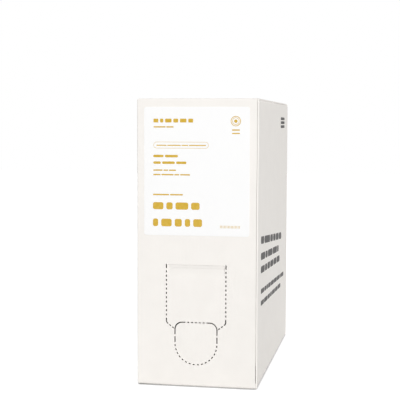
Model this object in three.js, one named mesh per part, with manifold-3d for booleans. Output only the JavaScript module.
// Refill pack for liquid soap: a sealed carton of fine-flute board with a perforated
// dispensing opening in its narrow front panel, and a paper label above the opening.
// Millimetres, +Z up. The origin is the middle of the footprint, on the surface the pack
// stands on. The front panel faces -Y and the wide side panels face -X and +X.

import * as THREE from 'three';
import { mergeVertices } from 'three/addons/utils/BufferGeometryUtils.js';
import Module from 'manifold-3d';

// Carton, outside sizes. Folds along the flutes, at the four upright corners, come out
// sharper than the folds of the flaps across them.
const CARTON_WIDTH = 80;
const CARTON_DEPTH = 185;
const CARTON_HEIGHT = 189;
const BOARD = 1.0;
const FOLD_RADIUS = 1.3;
const CORNER_RADIUS = 1.05;

// Closure: outer flaps hinge on the front and back panels and meet over the inner flaps
// of the side panels. Slots at the corners part the flaps.
const FLAP_SLOT_CLEARANCE = 0.2;
const FLAP_SLOT_DEPTH = 2.8;
const FLAP_MEETING_GAP = 0.8;

// Glued joint at the front right corner, where the blank closes on itself. The front
// panel's cut edge stops this much short of the side panel's thickness. The side panel's
// fold bulges forward beside it, to a little behind the front panel's face.
const JOINT_CLEARANCE = 0.1;
const JOINT_GAP = 0.35;
const LAP_STEP = 0.3;

// Knife cuts and creases in the front panel.
const CUT_WIDTH = 0.7;
const CREASE_WIDTH = 0.8;
const CREASE_DEPTH = 0.25;
const CREASE_SPACING = 2.1;

// Push tab: straight sides on a half circle, with rounded upper corners.
const TAB_FOOT = 14.5;
const TAB_WIDTH = 28;
const TAB_HEIGHT = 28;
const TAB_CORNER_RADIUS = 4.75;
const TAB_LIP_SPAN = 14;
const TAB_SIDE_CUT = 3.5;
const TAB_SIDE_DASH = 4;
const TAB_DASH = 1.3;
const TAB_LAND = 1.3;

// Tear-out flap: hinged along its top edge, and cut in to the tab at its foot. The tab's
// top edge rises a little past the flap's shoulders.
const FLAP_WIDTH = 39.6;
const FLAP_LENGTH = 38.2;
const FLAP_CORNER_LEG = 1.2;
const TAB_RISE = 0.3;
const HINGE_CUT = 2.8;
const CORNER_CUT_UP = 1.7;
const CORNER_CUT_DOWN = 0.3;
const FLAP_DASH = 1.45;
const FLAP_LAND = 1.43;

// Label, set by its margins to the front panel's edges and to the flap's hinge.
const LABEL_THICKNESS = 0.15;
const LABEL_CORNER_RADIUS = 1.5;
const LABEL_MARGIN_TOP = 5.5;
const LABEL_MARGIN_LEFT = 4.8;
const LABEL_MARGIN_RIGHT = 4.5;
const LABEL_MARGIN_HINGE = 19.4;

// Facets in half of a quarter turn, and the longest facet along a knife cut.
const ARC_DIVISIONS = 3;
const CUT_FACET = 0.9;

// Places worked out from the sizes. The opening is centred on the front panel, between
// its left fold and its cut edge at the joint.
const sideX = CARTON_WIDTH / 2;
const backY = CARTON_DEPTH / 2;
const cutEdgeX = sideX - BOARD - JOINT_CLEARANCE;
const lapX = cutEdgeX + JOINT_GAP;
const flapInset = BOARD + FLAP_SLOT_CLEARANCE;
const openingX = (cutEdgeX - sideX) / 2;
const tabRadius = TAB_WIDTH / 2;
const tabWaistZ = TAB_FOOT + tabRadius;
const tabTopZ = TAB_FOOT + TAB_HEIGHT;
const tabCornerZ = tabTopZ - TAB_CORNER_RADIUS;
const shoulderZ = tabTopZ - TAB_RISE;
const hingeZ = shoulderZ + FLAP_LENGTH;

const ALONG_X = new THREE.Vector3(1, 0, 0);
const ALONG_Y = new THREE.Vector3(0, 1, 0);
const ALONG_Z = new THREE.Vector3(0, 0, 1);
const QUARTER_TURN = Math.PI / 2;
const OVERCUT = 0.5;

const wasm = await Module();
wasm.setup();

function toSolid(geometry) {
  geometry.deleteAttribute('normal');
  geometry.deleteAttribute('uv');
  const merged = mergeVertices(geometry, 1e-5);
  return new wasm.Manifold(new wasm.Mesh({
    numProp: 3,
    vertProperties: new Float32Array(merged.attributes.position.array),
    triVerts: new Uint32Array(merged.index.array),
  }));
}

function toGeometry(solid) {
  const mesh = solid.getMesh();
  const geometry = new THREE.BufferGeometry();
  geometry.setAttribute('position', new THREE.BufferAttribute(mesh.vertProperties, 3));
  geometry.setIndex(new THREE.BufferAttribute(mesh.triVerts, 1));
  geometry.computeVertexNormals();
  return geometry;
}

// A shape drawn on the axes u and v, extruded from one distance to another along the
// third axis, u cross v.
function prism(shape, u, v, from, to) {
  const geometry = new THREE.ExtrudeGeometry(shape, {
    depth: to - from,
    bevelEnabled: false,
    curveSegments: ARC_DIVISIONS,
  });
  geometry.translate(0, 0, from);
  const w = new THREE.Vector3().crossVectors(u, v);
  geometry.applyMatrix4(new THREE.Matrix4().makeBasis(u, v, w));
  return toSolid(geometry);
}

function rectangle(left, bottom, right, top) {
  return new THREE.Shape([
    new THREE.Vector2(left, bottom),
    new THREE.Vector2(right, bottom),
    new THREE.Vector2(right, top),
    new THREE.Vector2(left, top),
  ]);
}

function roundedRectangle(left, bottom, right, top, radius) {
  const shape = new THREE.Shape();
  shape.absarc(right - radius, bottom + radius, radius, -QUARTER_TURN, 0);
  shape.absarc(right - radius, top - radius, radius, 0, QUARTER_TURN);
  shape.absarc(left + radius, top - radius, radius, QUARTER_TURN, 2 * QUARTER_TURN);
  shape.absarc(left + radius, bottom + radius, radius, 2 * QUARTER_TURN, 3 * QUARTER_TURN);
  return shape;
}

// The side panels folded over into the inner flaps, which lie one board thickness inside
// the top and bottom of the carton.
function panelsWithInnerFlaps() {
  const half = backY - flapInset;
  const profile = roundedRectangle(-sideX, BOARD, sideX, CARTON_HEIGHT - BOARD, FOLD_RADIUS);
  return prism(profile, ALONG_X, ALONG_Z, -half, half);
}

// The front and back panels folded over into the outer flaps, with the gaps at the top
// and the bottom where two flaps meet.
function panelsWithOuterFlaps() {
  const half = sideX - flapInset;
  const profile = roundedRectangle(-backY, 0, backY, CARTON_HEIGHT, FOLD_RADIUS);
  let closed = prism(profile, ALONG_Y, ALONG_Z, -half, half);
  for (const z of [0, CARTON_HEIGHT]) {
    const gap = rectangle(-FLAP_MEETING_GAP / 2, z - BOARD, FLAP_MEETING_GAP / 2, z + BOARD);
    closed = closed.subtract(prism(gap, ALONG_Y, ALONG_Z, -sideX, sideX));
  }
  return closed;
}

// The four upright panels between the flap slots, in plan. At the front right corner the
// right side panel folds in and runs on as the glue lap behind the front panel, so its
// fold sits back a step.
function uprightPanels() {
  const lapRadius = sideX - lapX;
  const foldX = sideX - CORNER_RADIUS;
  const foldY = backY - CORNER_RADIUS;
  const plan = new THREE.Shape();
  plan.moveTo(-foldX, -backY);
  plan.lineTo(lapX, -backY);
  plan.absarc(lapX, -backY + LAP_STEP + lapRadius, lapRadius, -QUARTER_TURN, 0);
  plan.absarc(foldX, foldY, CORNER_RADIUS, 0, QUARTER_TURN);
  plan.absarc(-foldX, foldY, CORNER_RADIUS, QUARTER_TURN, 2 * QUARTER_TURN);
  plan.absarc(-foldX, -foldY, CORNER_RADIUS, 2 * QUARTER_TURN, 3 * QUARTER_TURN);
  return prism(plan, ALONG_X, ALONG_Y, FLAP_SLOT_DEPTH, CARTON_HEIGHT - FLAP_SLOT_DEPTH);
}

// The gap beside the front panel's cut edge, over the whole height.
function jointGap() {
  const section = rectangle(cutEdgeX, -backY - OVERCUT, lapX, -backY + BOARD);
  return prism(section, ALONG_X, ALONG_Y, -OVERCUT, CARTON_HEIGHT + OVERCUT);
}

// The push tab's outline, anticlockwise from its lowest point and back to it.
function tabOutline() {
  const cornerX = tabRadius - TAB_CORNER_RADIUS;
  const outline = new THREE.Path();
  outline.absarc(openingX, tabWaistZ, tabRadius, -QUARTER_TURN, 0);
  outline.absarc(openingX + cornerX, tabCornerZ, TAB_CORNER_RADIUS, 0, QUARTER_TURN);
  outline.absarc(openingX - cornerX, tabCornerZ, TAB_CORNER_RADIUS, QUARTER_TURN, 2 * QUARTER_TURN);
  outline.absarc(openingX, tabWaistZ, tabRadius, 2 * QUARTER_TURN, 3 * QUARTER_TURN);
  return outline;
}

// One side of the tear-out flap, -1 for the left and 1 for the right: down from the
// hinge's upper crease, round the shoulder, and in to the side of the tab.
function flapOutline(side) {
  const outer = openingX + side * FLAP_WIDTH / 2;
  const shoulder = new THREE.Vector2(outer, shoulderZ);
  const tabSide = new THREE.Vector2(openingX + side * tabRadius, tabCornerZ);
  const turnEnd = tabSide.clone().sub(shoulder).setLength(FLAP_CORNER_LEG).add(shoulder);
  const outline = new THREE.Path();
  outline.moveTo(outer, hingeZ + CREASE_WIDTH / 2);
  outline.lineTo(outer, shoulderZ + FLAP_CORNER_LEG);
  outline.quadraticCurveTo(shoulder.x, shoulder.y, turnEnd.x, turnEnd.y);
  outline.lineTo(tabSide.x, tabSide.y);
  return outline;
}

// Equal dashes between two solid cuts, as near to the wanted dash and land as they fit.
function dashes(start, end, dash, land) {
  const count = Math.max(1, Math.round((end - start - land) / (dash + land)));
  const gap = (end - start - count * dash) / (count + 1);
  return Array.from({ length: count }, (_, i) => {
    const from = start + gap + i * (dash + gap);
    return [from, from + dash];
  });
}

// Where the tab is cut, as arc lengths along its outline. Solid cuts round the upper
// corners and a long dash below each start the tear, and the rest is perforated.
function tabCuts(outline) {
  const [, cornerStart] = outline.getCurveLengths();
  const total = outline.getLength();
  const lipStart = (total - TAB_LIP_SPAN) / 2;
  const cornerCut = [cornerStart - TAB_SIDE_CUT, lipStart];
  const sideDash = [cornerCut[0] - TAB_LAND - TAB_SIDE_DASH, cornerCut[0] - TAB_LAND];
  const round = dashes(-TAB_LAND / 2, sideDash[0], TAB_DASH, TAB_LAND);
  const right = [...round, sideDash, cornerCut];
  const left = right.map(([from, to]) => [total - to, total - from]);
  return [...right, ...left, ...dashes(lipStart, total - lipStart, TAB_DASH, TAB_LAND)];
}

// Where one side of the tear-out flap is cut: solid beside the hinge and round the
// shoulder, and perforated between.
function flapCuts(outline) {
  const [sideEnd, turnEnd, tabSide] = outline.getCurveLengths();
  const shoulderCut = [sideEnd - CORNER_CUT_UP, turnEnd + CORNER_CUT_DOWN];
  return [
    [0, HINGE_CUT],
    ...dashes(HINGE_CUT, shoulderCut[0], FLAP_DASH, FLAP_LAND),
    shoulderCut,
    ...dashes(shoulderCut[1], tabSide, FLAP_DASH, FLAP_LAND),
  ];
}

// A knife cut through the front panel, along an outline from one arc length to another.
function knifeCut(outline, [start, end]) {
  const total = outline.getLength();
  const facets = Math.ceil((end - start) / CUT_FACET);
  const near = [];
  const far = [];
  for (let i = 0; i <= facets; i += 1) {
    const share = (start + (end - start) * i / facets) / total;
    const point = outline.getPoint(share);
    const { x, y } = outline.getTangent(share);
    const half = new THREE.Vector2(-y, x).multiplyScalar(CUT_WIDTH / 2);
    near.push(point.clone().add(half));
    far.unshift(point.clone().sub(half));
  }
  const shape = new THREE.Shape([...near, ...far]);
  return prism(shape, ALONG_X, ALONG_Z, backY - BOARD, backY + OVERCUT);
}

// A crease pressed in across the flap by a rounded rule, between the flap's side cuts.
function crease(z) {
  const radius = (CREASE_WIDTH ** 2 / 4 + CREASE_DEPTH ** 2) / (2 * CREASE_DEPTH);
  const half = FLAP_WIDTH / 2 - CUT_WIDTH;
  const section = new THREE.Shape();
  section.absarc(-backY + CREASE_DEPTH - radius, z, radius, -QUARTER_TURN, QUARTER_TURN);
  return prism(section, ALONG_Y, ALONG_Z, openingX - half, openingX + half);
}

function dispensingOpening() {
  const tab = tabOutline();
  const cuts = tabCuts(tab).map((span) => knifeCut(tab, span));
  for (const side of [-1, 1]) {
    const flap = flapOutline(side);
    cuts.push(...flapCuts(flap).map((span) => knifeCut(flap, span)));
  }
  return [...cuts, crease(hingeZ), crease(hingeZ - CREASE_SPACING)];
}

function cartonGeometry() {
  let carton = panelsWithOuterFlaps().add(panelsWithInnerFlaps()).add(uprightPanels());
  for (const cut of [jointGap(), ...dispensingOpening()]) {
    carton = carton.subtract(cut);
  }
  return toGeometry(carton);
}

function labelGeometry() {
  const left = -sideX + LABEL_MARGIN_LEFT;
  const right = cutEdgeX - LABEL_MARGIN_RIGHT;
  const bottom = hingeZ + LABEL_MARGIN_HINGE;
  const top = CARTON_HEIGHT - LABEL_MARGIN_TOP;
  const outline = roundedRectangle(left, bottom, right, top, LABEL_CORNER_RADIUS);
  return toGeometry(prism(outline, ALONG_X, ALONG_Z, backY, backY + LABEL_THICKNESS));
}

function namedMesh(name, geometry, material) {
  const mesh = new THREE.Mesh(geometry, material);
  mesh.name = name;
  return mesh;
}

const boardFinish = new THREE.MeshStandardMaterial({ color: 0xf3f0eb, roughness: 0.85, metalness: 0 });
const labelFinish = new THREE.MeshStandardMaterial({ color: 0xfdfdfd, roughness: 0.35, metalness: 0 });

const pack = new THREE.Group();
pack.add(namedMesh('carton', cartonGeometry(), boardFinish));
pack.add(namedMesh('label', labelGeometry(), labelFinish));

export default pack;
